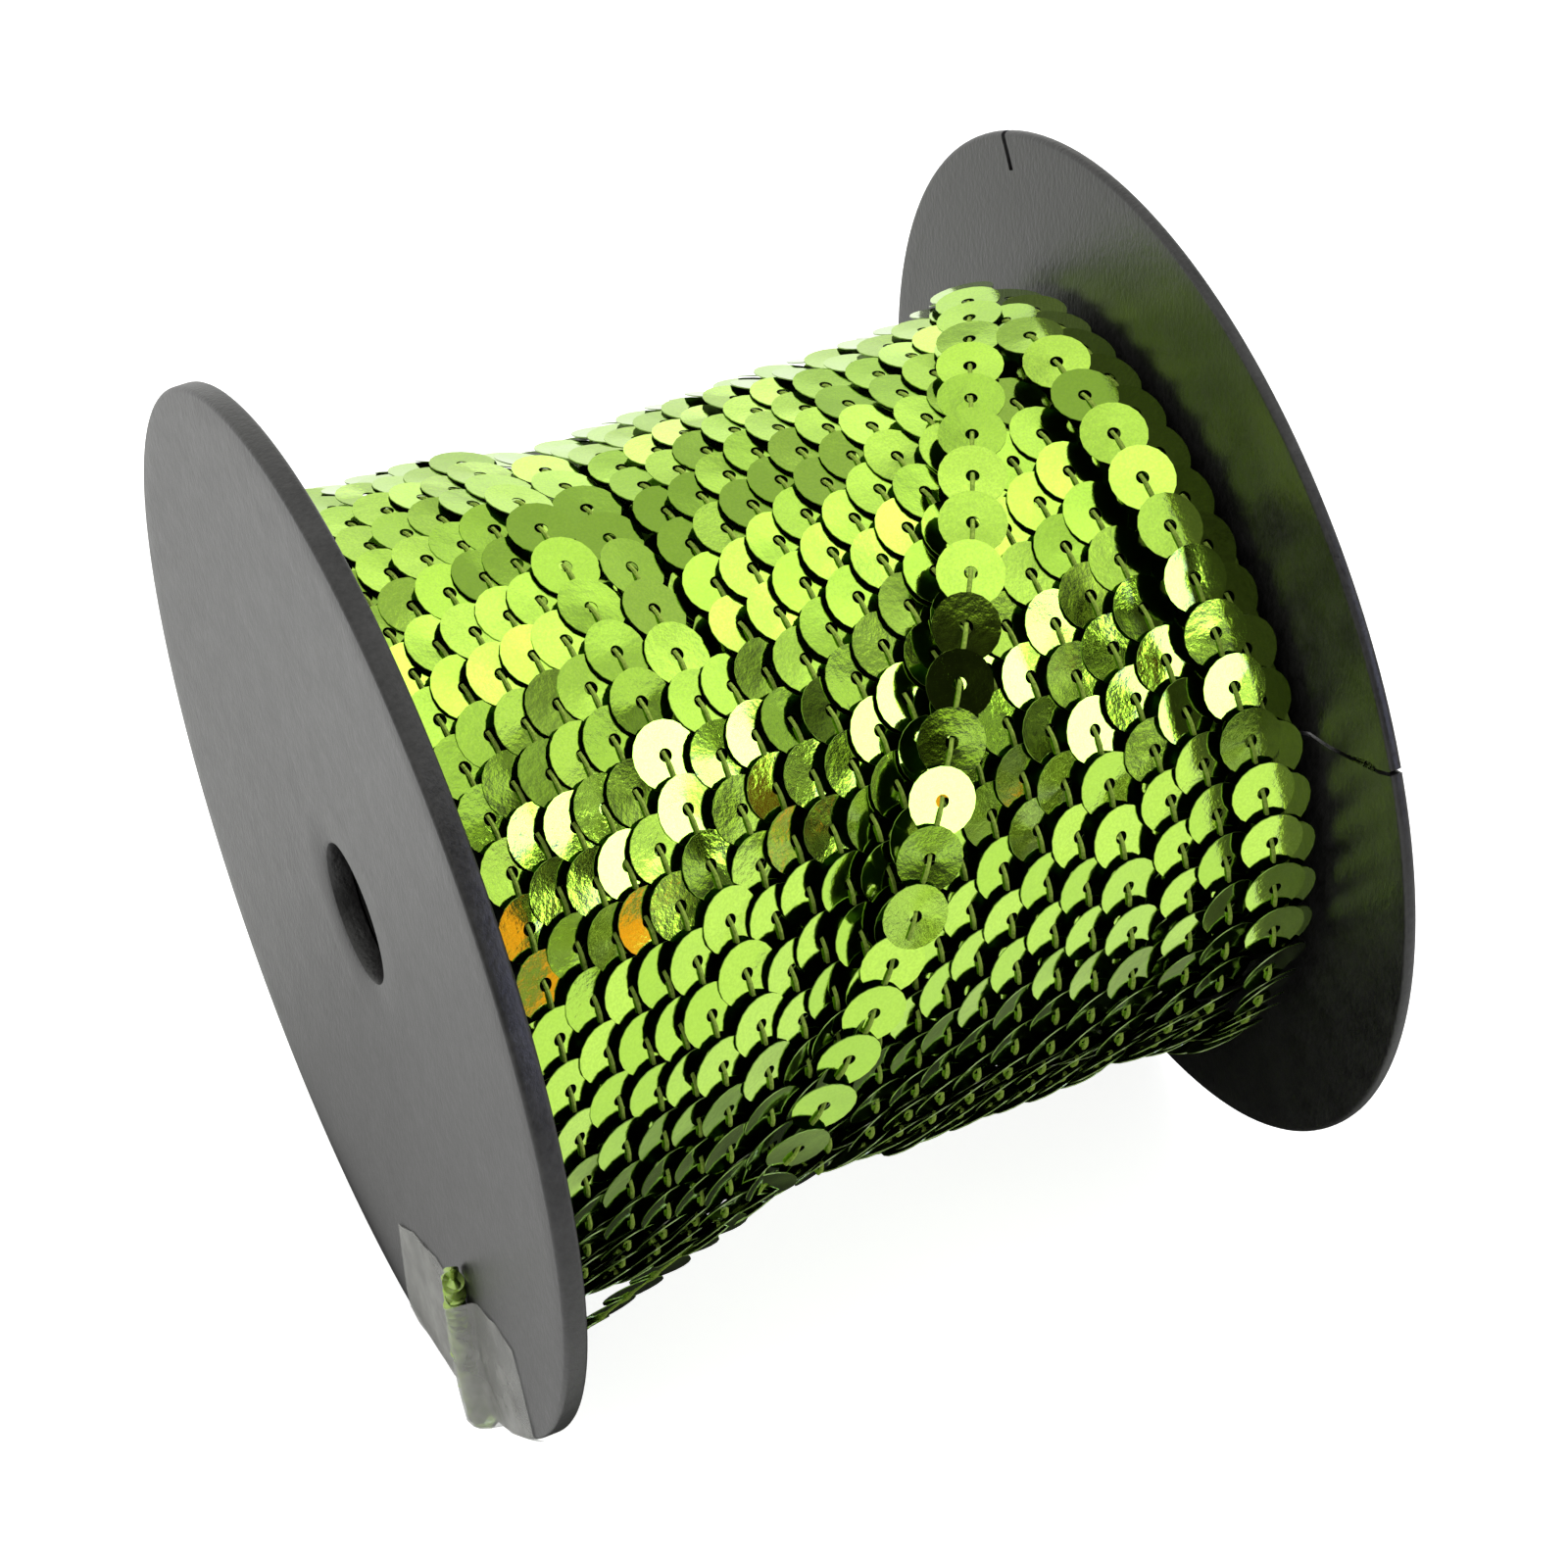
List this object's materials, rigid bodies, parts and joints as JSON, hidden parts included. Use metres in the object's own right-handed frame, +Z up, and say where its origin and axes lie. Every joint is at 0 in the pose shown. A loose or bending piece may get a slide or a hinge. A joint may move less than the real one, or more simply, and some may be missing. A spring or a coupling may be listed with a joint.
{
  "type": "sequin trim on a spool",
  "caption": "Strung sequin trim wound on a flanged spool, its last turn slanting across and its end taped to a flange.",
  "frame": {"origin": "on the surface, under the middle of the whole", "axes": "+X along the spool's axis, away from the taped flange; -Y the front, where the last turn crosses; +Z up"},
  "size_m": [0.0834, 0.098, 0.0976],
  "materials": {
    "flange_plastic": "matt, fine brushed grain",
    "core_plastic": "matt",
    "sequin_foil": "lime green metallised foil sequins strung on green thread",
    "clear_tape": "clear film, satin"
  },
  "bodies": {
    "root": {"near_flange": "flange_plastic", "far_flange": "flange_plastic", "spool_core": "core_plastic", "wound_trim": "sequin_foil", "trim_tail": "sequin_foil", "tape": "clear_tape"}
  },
  "joints": []
}
